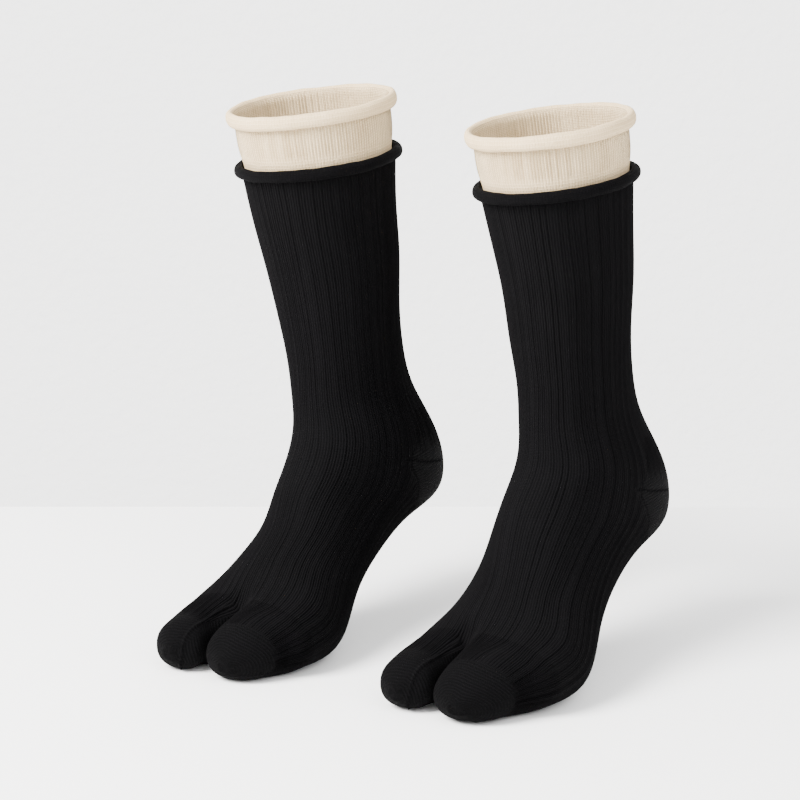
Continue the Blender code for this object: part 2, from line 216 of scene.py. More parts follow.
def smoothstep(low: float, high: float, value: np.ndarray) -> np.ndarray:
    """Ease from 0 at `low` to 1 at `high`: 3x^2 - 2x^3 of the clamped fraction x."""
    x = np.clip((value - low) / (high - low), 0, 1)
    return x * x * (3 - 2 * x)


def spline(rows: np.ndarray, knots: np.ndarray, at: np.ndarray) -> np.ndarray:
    """Natural cubic through rows at the knots.

    Args:
        rows: values, one row per knot.
        knots: increasing parameter of each row.
        at: parameters to read.

    Returns:
        One row per parameter, from the cubic whose second derivative is continuous.
    """
    count = len(knots)
    gaps = np.diff(knots)
    system = np.eye(count)
    right = np.zeros_like(rows)
    inside = np.arange(1, count - 1)
    system[inside, inside - 1] = gaps[:-1]
    system[inside, inside] = 2 * (gaps[:-1] + gaps[1:])
    system[inside, inside + 1] = gaps[1:]
    slopes = np.diff(rows, axis=0) / gaps[:, None]
    right[1:-1] = 6 * np.diff(slopes, axis=0)
    bend = np.linalg.solve(system, right)
    low = np.clip(np.searchsorted(knots, at) - 1, 0, count - 2)
    step = (at - knots[low])[:, None]
    gap = gaps[low][:, None]
    slope = slopes[low] - gap * (2 * bend[low] + bend[low + 1]) / 6
    cubic = (bend[low + 1] - bend[low]) / (6 * gap)
    return rows[low] + step * slope + step ** 2 * bend[low] / 2 + step ** 3 * cubic


def path_knots(points: np.ndarray) -> np.ndarray:
    """Distance along a broken line through the points."""
    return np.concatenate([[0.0], np.cumsum(np.linalg.norm(np.diff(points, axis=0), axis=1))])


def tangent(before: np.ndarray, here: np.ndarray, after: np.ndarray) -> np.ndarray:
    """Direction through three unevenly spaced points: each side's unit chord times the other's length."""
    back = here - before
    ahead = after - here
    back_length = np.linalg.norm(back, axis=-1, keepdims=True) + 1e-9
    ahead_length = np.linalg.norm(ahead, axis=-1, keepdims=True) + 1e-9
    return back / back_length * ahead_length + ahead / ahead_length * back_length


def grid_normals(grid: np.ndarray) -> np.ndarray:
    """Unit normals of a grid closed along its columns: down its rows crossed with round its columns."""
    down = np.zeros_like(grid)
    down[1:-1] = tangent(grid[:-2], grid[1:-1], grid[2:])
    down[0] = grid[1] - grid[0]
    down[-1] = grid[-1] - grid[-2]
    around = tangent(np.roll(grid, 1, axis=1), grid, np.roll(grid, -1, axis=1))
    normal = np.cross(down, around)
    return normal / (np.linalg.norm(normal, axis=2, keepdims=True) + 1e-12)


def superellipse(angle: np.ndarray, power: np.ndarray) -> Tuple[np.ndarray, np.ndarray]:
    """Cosine and sine raised to 2/power with their signs kept."""
    c = np.cos(angle)
    s = np.sin(angle)
    return np.sign(c) * np.abs(c) ** (2 / power), np.sign(s) * np.abs(s) ** (2 / power)


def wander(rib: np.ndarray, station: np.ndarray) -> np.ndarray:
    """Slow drift of the ribs: a few sines of rib number and station, up to about a quarter of a rib."""
    turn = rib * 2 * np.pi / RIBS
    return (0.11 * np.sin(5 * turn + 1.9 * station + 0.4) + 0.07 * np.sin(11 * turn - 1.3 * station + 2.1)
            + 0.05 * np.sin(17 * turn + 3.1 * station + 4.0))


class Loft:
    """The leg-and-foot surface: sections joined by natural cubics, read by station and rib."""

    FINE = 721

    def __init__(self, sections: Sequence[Section], split_x: float) -> None:
        """Keep the sections' numbers and the distance between their middles.

        Args:
            sections: from the leg's top edge to past the toe split.
            split_x: where the toe split divides the foot.
        """
        self.split_x = split_x
        self.table = np.array([astuple(s) for s in sections])
        middle = (self.table[:, 0:2] + self.table[:, 2:4]) / 2
        self.knots = path_knots(middle)
        self.index = np.arange(len(sections))

    def rows(self, station: np.ndarray) -> np.ndarray:
        """Section numbers at fractional stations."""
        return spline(self.table, self.knots, np.interp(station, self.index, self.knots))

    def even_stations(self, start: float, end: float, count: int) -> np.ndarray:
        """Stations spaced evenly along the mean of the front and back lines."""
        fine = np.linspace(start, end, 400)
        rows = self.rows(fine)
        length = (path_knots(rows[:, 0:2]) + path_knots(rows[:, 2:4])) / 2
        return np.interp(np.linspace(0, length[-1], count), length, fine)

    @staticmethod
    def ring(rows: np.ndarray, angle: np.ndarray, inset: float = 0.0) -> np.ndarray:
        """Points of sections: middle + u (front - back)/2 across the depth + v half_width across the width.

        Args:
            rows: section numbers, one row per ring.
            angle: angles from the front by way of +X, one row per ring.
            inset: distance inside the section.

        Returns:
            Points, rings by angles by 3.
        """
        front = rows[:, None, 0:2]
        back = rows[:, None, 2:4]
        half_width, mid_x, belly, power, lean = (rows[:, None, k] for k in range(4, 9))
        depth = np.linalg.norm(front - back, axis=-1) / 2
        u, v = superellipse(angle, power)
        reach = u * (depth - inset) / depth
        across = v * (half_width - inset) * (1 - belly * u)
        y = (front[..., 0] + back[..., 0]) / 2 + reach * (front[..., 0] - back[..., 0]) / 2
        z = (front[..., 1] + back[..., 1]) / 2 + reach * (front[..., 1] - back[..., 1]) / 2
        return np.stack([mid_x + across, y, z + lean * across], axis=-1)

    @staticmethod
    def side_angle(station: np.ndarray) -> np.ndarray:
        """Angle that parts instep ribs from heel and sole ribs: 90 degrees, drawn in to the gore's point."""
        near = np.exp(-((station - HEEL_GORE) / 1.3) ** 2)
        return np.radians(90 - (90 - GORE_ANGLE) * near)

    def angles(self, station: np.ndarray, rib: np.ndarray) -> np.ndarray:
        """Angle of each rib on each section, evenly spaced by length in the front and back halves.

        Args:
            station: one per ring.
            rib: rib numbers from the front by way of +X.

        Returns:
            Angles, rings by ribs.
        """
        rows = self.rows(station)
        fine = np.linspace(0, 2 * np.pi, self.FINE)
        points = self.ring(rows, np.broadcast_to(fine, (len(rows), self.FINE)))
        length = np.concatenate([np.zeros((len(rows), 1)),
                                 np.cumsum(np.linalg.norm(np.diff(points, axis=1), axis=2), axis=1)], axis=1)
        side = self.side_angle(station)
        quarters = np.array([0, RIBS / 4, RIBS / 2, RIBS * 3 / 4, RIBS])
        result = np.empty((len(rows), len(rib)))
        for i, (line, edge) in enumerate(zip(length, side)):
            marks = np.interp([0, edge, np.pi, 2 * np.pi - edge, 2 * np.pi], fine, line)
            moved = rib + wander(rib, station[i])
            turns = np.floor(moved / RIBS)
            along = np.interp(moved - turns * RIBS, quarters, marks)
            result[i] = np.interp(along, line, fine) + turns * 2 * np.pi
        return result

    def surface(self, station: np.ndarray, rib: np.ndarray) -> Tuple[np.ndarray, np.ndarray]:
        """The smooth outer surface and the angle of each point.

        Args:
            station: one per row.
            rib: one per column.

        Returns:
            Points with the dip before the toe split and the flat sole, and their angles.
        """
        angle = self.angles(station, rib)
        points = self.ring(self.rows(station), angle)
        return rest_on_floor(crotch_dip(points, station, self.split_x)), angle

    def axis(self) -> np.ndarray:
        """Unit vector up the leg: the normal of the top section."""
        top = self.table[0]
        across = np.array([1, 0, top[8]])
        along = np.array([0, top[2] - top[0], top[3] - top[1]])
        normal = np.cross(across, along)
        return normal / np.linalg.norm(normal)


def crotch_dip(points: np.ndarray, station: np.ndarray, split_x: float) -> np.ndarray:
    """Lower the instep to a soft valley where the toes divide: a bell across x, eased in along the foot.

    Args:
        points: grid of points.
        station: one per row.
        split_x: where the split divides the foot.

    Returns:
        The lowered grid.
    """
    reach = smoothstep(SPLIT_STATION - 0.7, SPLIT_STATION + 0.15, station)[:, None]
    bell = np.exp(-((points[..., 0] - split_x) / DIP_WIDTH) ** 2) * smoothstep(14, 26, points[..., 2])
    lowered = points.copy()
    lowered[..., 2] -= DIP_DEPTH * reach * bell
    return lowered


def rest_on_floor(points: np.ndarray) -> np.ndarray:
    """Flatten whatever would lie below the floor, z = 0."""
    flat = points.copy()
    flat[..., 2] = np.maximum(flat[..., 2], 0)
    return flat


def heel_edge(station: np.ndarray) -> np.ndarray:
    """Degrees from the front of the heel pocket's edge: the gore's point, drawn back above and below it."""
    away = np.clip(np.abs(station - HEEL_GORE) / (HEEL_BOTTOM - HEEL_GORE), 0, 1)
    return GORE_ANGLE + HEEL_TAPER * away ** 1.5


@dataclass(frozen=True)
class RibKnit:
    """Ribs round a tube: shallow grooves with a deeper one every few ribs."""

    count: int
    groove: float
    deep_groove: float
    deep_every: float
    seed: int

    def grooves(self) -> np.ndarray:
        """Depth of the groove after each rib, drawn once from the seed."""
        draw = np.random.default_rng(self.seed)
        depth = self.groove * draw.uniform(0.6, 1.4, self.count)
        place = draw.uniform(0, self.deep_every)
        while place < self.count - 1:
            depth[int(place)] = self.deep_groove * draw.uniform(0.7, 1.15)
            place += self.deep_every * draw.uniform(0.6, 1.4)
        return depth

    def relief(self, rib: np.ndarray) -> np.ndarray:
        """Depth at each rib number: the groove's depth times |sin(pi rib)| to the power 1.5, negative."""
        depth = self.grooves()[np.floor(rib).astype(int) % self.count]
        return -depth * np.abs(np.sin(np.pi * rib)) ** 1.5


@dataclass
class KnitSurface:
    """A knitted wall ready to be a mesh: outer and inner grids, and coords in ribs and rows of knitting.

    The coordinates have one column more than the grids, to close the loop. A rolled edge has no inner
    grid and its rows wrap round as its columns do.
    """

    outer: np.ndarray
    inner: Optional[np.ndarray]
    coords: np.ndarray
    plain: np.ndarray
    normal: Optional[np.ndarray] = None
    tip: Optional[Tuple[np.ndarray, np.ndarray]] = None


class PieceBuilder:
    """Turns knitted surfaces into named objects that ride on the body."""

    def __init__(self, shift: np.ndarray) -> None:
        """Keep the move from a sock's own frame to the part's frame, in millimetres."""
        self.shift = shift

    def world(self, points: np.ndarray) -> np.ndarray:
        """Points in metres in the part's frame."""
        return (points + self.shift) * MM

    def wall(self, name: str, knit: KnitSurface, cells: Optional[np.ndarray] = None) -> bpy.types.Object:
        """A closed wall over the chosen cells of a grid that is closed along its columns.

        Args:
            name: object name.
            knit: grids of the wall.
            cells: which cells to build, all of them when left out.

        Returns:
            The object, with a "knit" UV map in ribs and courses and a "plain" attribute.
        """
        rows, columns = knit.outer.shape[:2]
        if cells is None:
            cells = np.ones((rows - 1, columns), bool)
        i, j = np.nonzero(cells)
        k = (j + 1) % columns
        here, below = i * columns, (i + 1) * columns
        corner = np.stack([here + j, below + j, below + k, here + k], axis=1)
        at = np.stack([np.stack([i, i + 1, i + 1, i], axis=1),
                       np.stack([j, j, j + 1, j + 1], axis=1)], axis=2)
        inside = rows * columns
        blank = np.zeros((1, columns), bool)
        absent = (~np.roll(cells, 1, axis=1), ~np.concatenate([cells[1:], blank]),
                  ~np.roll(cells, -1, axis=1), ~np.concatenate([blank, cells[:-1]]))
        rims = []
        rim_at = []
        for edge, missing in enumerate(absent):
            open_here = missing[i, j]
            if edge == 1 and knit.tip is not None:
                open_here = open_here & (i < rows - 2)
            a = corner[open_here, edge]
            b = corner[open_here, (edge + 1) % 4]
            rims.append(np.stack([b, a, a + inside, b + inside], axis=1))
            first = at[open_here, edge]
            second = at[open_here, (edge + 1) % 4]
            rim_at.append(np.stack([second, first, first, second], axis=1))
        quads = np.concatenate([corner, corner[:, ::-1] + inside] + rims)
        places = np.concatenate([at, at[:, ::-1]] + rim_at)
        smooth = np.concatenate([np.ones(2 * len(corner), bool), np.zeros(sum(len(r) for r in rims), bool)])
        points = np.concatenate([knit.outer.reshape(-1, 3), knit.inner.reshape(-1, 3)])
        plain = np.concatenate([knit.plain.ravel(), knit.plain.ravel()])
        facing = np.concatenate([knit.normal.reshape(-1, 3), -grid_normals(knit.inner).reshape(-1, 3)])
        tris = np.zeros((0, 3), int)
        tri_at = np.zeros((0, 3, 2), int)
        if knit.tip is not None:
            last = (rows - 1) * columns
            ring = np.arange(columns)
            after = (ring + 1) % columns
            top = len(points)
            points = np.concatenate([points, np.array(knit.tip)])
            plain = np.concatenate([plain, [1.0, 1.0]])
            facing = np.concatenate([facing, [[0.0, -1.0, 0.0], [0.0, 1.0, 0.0]]])
            tris = np.concatenate([
                np.stack([last + after, last + ring, np.full(columns, top)], axis=1),
                np.stack([inside + last + ring, inside + last + after, np.full(columns, top + 1)], axis=1)])
            edge_row = np.full(columns, rows - 1)
            a = np.stack([edge_row, ring], axis=1)
            b = np.stack([edge_row, ring + 1], axis=1)
            tri_at = np.concatenate([np.stack([b, a, a], axis=1), np.stack([a, b, a], axis=1)])
        uv = np.concatenate([knit.coords[place[..., 0], place[..., 1]].reshape(-1, 2)
                             for place in (places, tri_at)])
        smooth = np.concatenate([smooth, np.ones(len(tris), bool)])
        return self.mesh(name, points, quads, tris, smooth, uv, plain, facing)

    def ring(self, name: str, knit: KnitSurface) -> bpy.types.Object:
        """A closed ring from a grid that wraps along its rows and its columns."""
        rows, columns = knit.outer.shape[:2]
        i, j = (index.ravel() for index in np.indices((rows, columns)))
        down = (i + 1) % rows
        next_column = (j + 1) % columns
        quads = np.stack([i * columns + j, down * columns + j, down * columns + next_column,
                          i * columns + next_column], axis=1)
        row = np.stack([i, i + 1, i + 1, i], axis=1)
        column = np.stack([j, j, j + 1, j + 1], axis=1)
        uv = knit.coords[row, column].reshape(-1, 2)
        return self.mesh(name, knit.outer.reshape(-1, 3), quads, np.zeros((0, 3), int),
                         np.ones(len(quads), bool), uv, knit.plain.ravel())

    def mesh(self, name: str, points: np.ndarray, quads: np.ndarray, tris: np.ndarray, smooth: np.ndarray,
             uv: np.ndarray, plain: np.ndarray, facing: Optional[np.ndarray] = None) -> bpy.types.Object:
        """Make the object from whole arrays, leaving out unused points.

        Args:
            name: object name.
            points: corners in the sock's own millimetres.
            quads: four-cornered faces.
            tris: three-cornered faces, after the quads.
            smooth: whether each face is shaded smooth.
            uv: knit coordinates, one per face corner.
            plain: 0 on rib and 1 on plain knit, one per point.
            facing: unit normals, one per point, so that pieces cut from one surface shade alike.

        Returns:
            The linked object.
        """
        loops = np.concatenate([quads.ravel(), tris.ravel()])
        used, index = np.unique(loops, return_inverse=True)
        starts = np.concatenate([np.arange(len(quads)) * 4, len(quads) * 4 + np.arange(len(tris)) * 3])
        mesh = bpy.data.meshes.new(name)
        mesh.vertices.add(len(used))
        mesh.vertices.foreach_set("co", self.world(points[used]).astype(np.float32).ravel())
        mesh.loops.add(len(index))
        mesh.loops.foreach_set("vertex_index", index.astype(np.int32).ravel())
        mesh.polygons.add(len(starts))
        mesh.polygons.foreach_set("loop_start", starts.astype(np.int32))
        mesh.polygons.foreach_set("use_smooth", smooth)
        layer = mesh.uv_layers.new(name="knit")
        layer.data.foreach_set("uv", uv.astype(np.float32).ravel())
        attribute = mesh.attributes.new("plain", "FLOAT", "POINT")
        attribute.data.foreach_set("value", plain[used].astype(np.float32))
        mesh.update(calc_edges=True)
        mesh.validate()
        if facing is not None:
            mesh.normals_split_custom_set_from_vertices(facing[used].tolist())
        item = bpy.data.objects.new(name, mesh)
        bpy.context.scene.collection.objects.link(item)
        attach(item, BODY)
        return item


def dress(item: bpy.types.Object, material: bpy.types.Material, slot: Slot, node: str) -> None:
    """Give a piece its material, log its slot, and hide the CAD node that it stands for.

    Args:
        item: the piece.
        material: its finish.
        slot: the record's slot.
        node: CAD node that it replaces.
    """
    item.data.materials.clear()
    item.data.materials.append(material)
    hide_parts(node)
    LOG.info("%s: %d faces, %s", item.name, len(item.data.polygons), slot.value)


@dataclass(frozen=True)
class Stitching:
    """A raised or sunken line across the knit, broken into stitches along its length.

    Points are in the sock's own frame; height is outward, negative for a groove; pitch is the length
    of one stitch and broken is how far it drops between stitches, from 0 to 1.
    """

    points: Tuple[Tuple[float, float, float], ...]
    height: float
    half_width: float
    pitch: float
    broken: float

    def relief(self, grid: np.ndarray) -> np.ndarray:
        """Height at each point of a grid: height times a bell of the distance from the line, broken up.

        The line is first laid on the grid's nearest points and smoothed.
        """
        corners = np.array(self.points, float)
        marks = path_knots(corners)
        steps = np.linspace(0, marks[-1], max(int(marks[-1] / 0.6), 2))
        fine = spline(corners, marks, steps)
        flat = grid.reshape(-1, 3)
        fine = np.array([flat[np.argmin(((flat - place) ** 2).sum(axis=1))] for place in fine])
        fine[2:-2] = (fine[:-4] + fine[1:-3] + fine[2:-2] + fine[3:-1] + fine[4:]) / 5
        best = np.full(len(flat), 1e9)
        along = np.zeros(len(flat))
        for start, end, mark, length in zip(fine[:-1], fine[1:], steps[:-1], np.diff(steps)):
            span = end - start
            share = np.clip((flat - start) @ span / (span @ span + 1e-9), 0, 1)
            gap = np.linalg.norm(flat - start - share[:, None] * span, axis=1)
            closer = gap < best
            best = np.where(closer, gap, best)
            along = np.where(closer, mark + share * length, along)
        bell = np.exp(-(best / self.half_width) ** 2)
        beat = 1 - self.broken * (0.5 - 0.5 * np.cos(2 * np.pi * along / self.pitch))
        return (self.height * bell * beat).reshape(grid.shape[:2])


def knit_map(wale: np.ndarray, grid: np.ndarray) -> np.ndarray:
    """Knit coordinates of a grid, with the column that closes the loop.

    Args:
        wale: rib numbers, one for each column and one more.
        grid: points, whose columns run down the knit.

    Returns:
        Rib number and knitted rows above each point: length down the column over the height of a row.
    """
    step = np.linalg.norm(np.diff(grid, axis=0), axis=2)
    course = np.concatenate([np.zeros((1, grid.shape[1])), np.cumsum(step, axis=0)]) / COURSE
    course = np.concatenate([course, course[:, :1]], axis=1)
    return np.stack([np.broadcast_to(wale, course.shape), course], axis=-1)


@dataclass
class LegAndFoot:
    """The ribbed leg and instep, the heel pocket and the sole, all cut from one loft."""

    loft: Loft
    knit: RibKnit
    stations: np.ndarray = field(init=False)
    rib: np.ndarray = field(init=False)
    split_columns: Tuple[int, int] = field(init=False)

    def __post_init__(self) -> None:
        """Choose the rows, closer together over the heel's gore, and find the columns at the split."""
        self.stations = np.concatenate([
            self.loft.even_stations(0, 6.15, 38)[:-1],
            self.loft.even_stations(6.15, 7.45, 38)[:-1],
            self.loft.even_stations(7.45, SPLIT_STATION, 30)])
        self.rib = np.arange(RIBS * RIB_STEPS) / RIB_STEPS
        last, _ = self.loft.surface(np.array([SPLIT_STATION]), self.rib)
        side = np.abs(last[0, :, 0] - self.loft.split_x)
        upper = last[0, :, 2] > 15
        count = len(self.rib)
        top = int(np.argmin(np.where(upper, side, 1e9)))
        low = int(np.argmin(np.where(upper, 1e9, side)))
        self.split_columns = (top - count if top > count // 2 else top, low)

    def plainness(self, station: np.ndarray, angle: np.ndarray) -> np.ndarray:
        """0 on rib and 1 on plain knit: the heel pocket and the sole are plain.

        Args:
            station: one per row.
            angle: angle of each point.

        Returns:
            The share of plain knit at each point.
        """
        turned = np.degrees(np.abs((angle + np.pi) % (2 * np.pi) - np.pi))
        edge = heel_edge(station)[:, None]
        row = station[:, None]
        pocket = smoothstep(-3, 5, turned - edge) * smoothstep(HEEL_GORE - 0.75, HEEL_GORE + 0.05, row)
        pocket = pocket * (1 - smoothstep(HEEL_BOTTOM - 0.3, HEEL_BOTTOM + 0.1, row))
        sole = smoothstep(112, 124, turned) * smoothstep(HEEL_GORE, HEEL_BOTTOM, row)
        return np.maximum(pocket, sole)

    def gore_lines(self) -> List[Stitching]:
        """The heel's row of eyelets and the seams that run from its gore, on both sides."""
        lines = []
        for side in (1, -1):
            for row in GORE_LINES:
                station, degrees = np.array(row.points, float).T
                points = self.loft.ring(self.loft.rows(station), np.radians(side * degrees)[:, None])[:, 0]
                line = tuple(map(tuple, points.tolist()))
                lines.append(Stitching(line, row.height, row.half_width, row.pitch, row.broken))
        return lines

    def surface(self) -> Tuple[KnitSurface, np.ndarray]:
        """The knitted wall of leg and foot, and the angle of each point."""
        rows = np.concatenate([self.stations, [SPLIT_STATION + 0.15]])
        smooth, angle = self.loft.surface(rows, self.rib)
        normal = grid_normals(smooth)
        plain = self.plainness(rows, angle)
        rib_cover = 1 - plain
        relief = self.knit.relief(np.broadcast_to(self.rib, plain.shape)) * rib_cover
        for line in self.gore_lines():
            relief = relief + line.relief(smooth)
        outer = rest_on_floor(smooth + normal * relief[..., None])
        inner = smooth - normal * WALL
        coords = knit_map(np.append(self.rib, RIBS), smooth)
        knit = KnitSurface(outer[:-1], inner[:-1], coords[:-1], plain[:-1], grid_normals(outer)[:-1])
        return knit, angle[:-1]

    def parts(self, angle: np.ndarray) -> Dict[str, np.ndarray]:
        """Which cells belong to each piece: leg above the heel, then instep, heel and sole."""
        middle = (self.stations[1:] + self.stations[:-1])[:, None] / 2
        turned = (angle[1:] + angle[:-1]) / 2
        turned = turned + np.pi / len(self.rib)
        turned = np.degrees(np.abs((turned + np.pi) % (2 * np.pi) - np.pi))
        under = turned > heel_edge(middle)
        below = middle > HEEL_TOP
        heel = below & (middle < HEEL_BOTTOM) & under
        sole = (middle > HEEL_BOTTOM) & under
        leg = np.broadcast_to(~below, under.shape)
        return {"leg": leg, "heel": heel, "sole": sole, "instep": below & ~heel & ~sole}


@dataclass
class ToePocket:
    """One toe pocket, which runs on from half of the foot's section and rounds to a closed tip."""

    foot: LegAndFoot
    toes: Sequence[Toe]
    side: int
    rib_end: Tuple[float, float]
    seams: Sequence[Stitching]
    rows: int = 34
    wall_columns: int = 56
    power: float = 2.3

    def columns(self) -> np.ndarray:
        """Rib numbers of the columns that the pocket shares with the foot, in the foot's order."""
        top, low = self.foot.split_columns
        count = RIBS * RIB_STEPS
        index = np.arange(top, low + 1) if self.side > 0 else np.arange(low, top + count + 1)
        return index / RIB_STEPS

    def table(self) -> np.ndarray:
        """Toe sections at the pocket's rows, closer together near the tip."""
        rows = np.array([astuple(toe) for toe in self.toes])
        knots = path_knots(rows[:, 1::-1])
        share = np.linspace(0, 1, self.rows)
        at = knots[-1] * (1 - (1 - share) ** 1.6) * 0.985
        return spline(rows, knots, at)

    def surface(self) -> KnitSurface:
        """The pocket's knitted wall with its tip."""
        table = self.table()
        table = np.concatenate([table[:1], table])
        rib = self.columns()
        past = np.clip((self.toes[0].y - table[:, 0]) / STATION_STEP, 0, 2)
        station = SPLIT_STATION + past
        station[0] = SPLIT_STATION - 0.15
        rim, _ = self.foot.loft.surface(station, rib)
        steps = np.linspace(0, 1, self.wall_columns + 2)[1:-1][None, :, None]
        septum = rim[:, -1:] + (rim[:, :1] - rim[:, -1:]) * steps
        half = np.concatenate([rim, septum], axis=1)
        middle = (half[0].max(axis=0) + half[0].min(axis=0)) / 2
        around = np.arctan2(half[0, :, 0] - middle[0], half[0, :, 2] - middle[2])
        u, v = superellipse(around, np.float64(self.power))
        y, mid_x, half_width, top, bottom, slant, roundness = (table[:, k, None] for k in range(7))
        across = v * half_width
        height = (top + bottom) / 2 + u * (top - bottom) / 2
        target = np.stack([mid_x + across, y + slant * across, height], axis=-1)
        blend = smoothstep(0, 1, np.clip(roundness, 0, 1))[..., None]
        smooth = rest_on_floor(half * (1 - blend) + target * blend)
        normal = grid_normals(smooth)
        wales = np.concatenate([rib, rib[-1] + (np.arange(self.wall_columns) + 1) / 3.0])
        plain = self.plainness(smooth, len(rib))
        relief = np.zeros_like(plain)
        relief[:, :len(rib)] = self.foot.knit.relief(np.broadcast_to(rib, (len(table), len(rib))))
        relief = relief * (1 - plain)
        for seam in self.seams:
            relief = relief + seam.relief(smooth)
        outer = rest_on_floor(smooth + normal * relief[..., None])
        inner = smooth - normal * WALL
        coords = knit_map(np.append(wales, wales[-1] + 1 / 3.0), smooth)
        tip = outer[-1].mean(axis=0)
        tip_in = inner[-1].mean(axis=0)
        tip[1] -= 0.25
        facing = grid_normals(outer)[1:]
        return KnitSurface(outer[1:], inner[1:], coords[1:], plain[1:], facing, (tip, tip_in))

    def plainness(self, points: np.ndarray, shared: int) -> np.ndarray:
        """0 on rib and 1 on plain: the ribs end between the two distances and on the sole."""
        near, far = self.rib_end
        lower = 1 - smoothstep(1.5, 9, points[..., 2])
        plain = np.maximum(smoothstep(-near, -far, -points[..., 1]), lower)
        plain[:, shared:] = 1
        return plain


@dataclass
class RolledEdge:
    """An edge of knit curled into a soft ring round the leg."""

    loft: Loft
    rise: float
    out: float
    half_width: float
    half_height: float
    seed: int
    around: int = 340
    across: int = 26
    wale_width: float = 1.6
    plain: float = 0.25

    def surface(self) -> KnitSurface:
        """The ring as a grid: rows go round its section, columns round the leg."""
        top = self.loft.table[:1]
        turn = np.linspace(0, 2 * np.pi, self.around, endpoint=False)
        axis = self.loft.axis()
        path = self.loft.ring(top, turn[None], -self.out)[0] + axis * self.rise
        along = np.roll(path, -1, axis=0) - np.roll(path, 1, axis=0)
        outward = np.cross(along, axis)
        outward /= np.linalg.norm(outward, axis=1, keepdims=True)
        section = np.linspace(0, 2 * np.pi, self.across, endpoint=False)
        wobble = self.wobble(turn)
        side = np.cos(section)[:, None, None] * (self.half_width * wobble[0])[None, :, None] * outward
        rise = np.sin(section)[:, None, None] * (self.half_height * wobble[1])[None, :, None] * axis
        outer = path + side[::-1] + rise[::-1] + axis * wobble[2][None, :, None]
        length = path_knots(np.concatenate([path, path[:1]]))
        courses = np.round(np.pi * (self.half_width + self.half_height) / COURSE)
        rows = np.linspace(0, 1, self.across + 1)[:, None] * courses
        coords = np.stack(np.broadcast_arrays(length / self.wale_width, rows), axis=-1)
        return KnitSurface(outer, None, coords, np.full((self.across, self.around), self.plain))

    def wobble(self, turn: np.ndarray) -> np.ndarray:
        """Slow changes of width, height and level round the ring: sums of a few sines."""
        draw = np.random.default_rng(self.seed)
        waves = np.array([3, 5, 8, 13, 21])
        size = np.array([0.020, 0.015, 0.012, 0.009, 0.008])
        phase = draw.uniform(0, 2 * np.pi, (3, len(waves)))
        sums = (size[None, :, None] * np.sin(waves[None, :, None] * turn + phase[..., None])).sum(axis=1)
        return np.array([1 + sums[0], 1 + sums[1], 6 * sums[2]])


@dataclass
class InnerCuff:
    """The cream cuff: a ribbed tube inside the leg that widens above its edge."""

    loft: Loft
    knit: RibKnit
    flat_knit: RibKnit
    rows: int = 30
    steps: int = 4

    def surface(self) -> KnitSurface:
        """The cuff's wall from its hidden lower end up to its edge, as a grid from the top down."""
        count = self.knit.count * self.steps
        turn = np.arange(count) * 2 * np.pi / count
        axis = self.loft.axis()
        rings = []
        heights = []
        for row in CUFF:
            ring = self.loft.ring(self.loft.rows(np.array([row.station])), turn[None], row.inset)[0]
            rings.append(ring + axis * row.rise)
            heights.append(row.rise - CUFF_STATION * row.station)
        rings = np.array(rings[::-1])
        heights = np.array(heights[::-1])
        marks = heights[0] - heights
        at = np.linspace(0, marks[-1], self.rows)
        smooth = spline(rings.reshape(len(CUFF), -1), marks, at).reshape(self.rows, count, 3)
        level = heights[0] - at
        normal = grid_normals(smooth)
        rib = np.arange(count) / self.steps
        deep = smoothstep(11.0, 15.0, level)[:, None]
        broad = self.knit.relief(rib)[None]
        behind = self.knit.relief(rib + 0.5)[None]
        fine = self.flat_knit.relief(rib)[None]
        fade = smoothstep(2.0, 6.0, marks[-1] - at) * (1 - smoothstep(CUFF_TOP - 1.5, CUFF_TOP, level))
        fade = fade[:, None]
        outer = smooth + normal * ((broad * deep + fine * (1 - deep)) * fade)[..., None]
        wall = WALL * (1 - 0.8 * smoothstep(CUFF_TOP - 1.6, CUFF_TOP, level))[:, None]
        inner = smooth - normal * (wall + 0.8 * behind * fade)[..., None]
        coords = knit_map(np.append(rib, self.knit.count), smooth)
        plain = np.broadcast_to(0.3 * (1 - deep), (self.rows, count))
        return KnitSurface(outer, inner, coords, plain, grid_normals(outer))


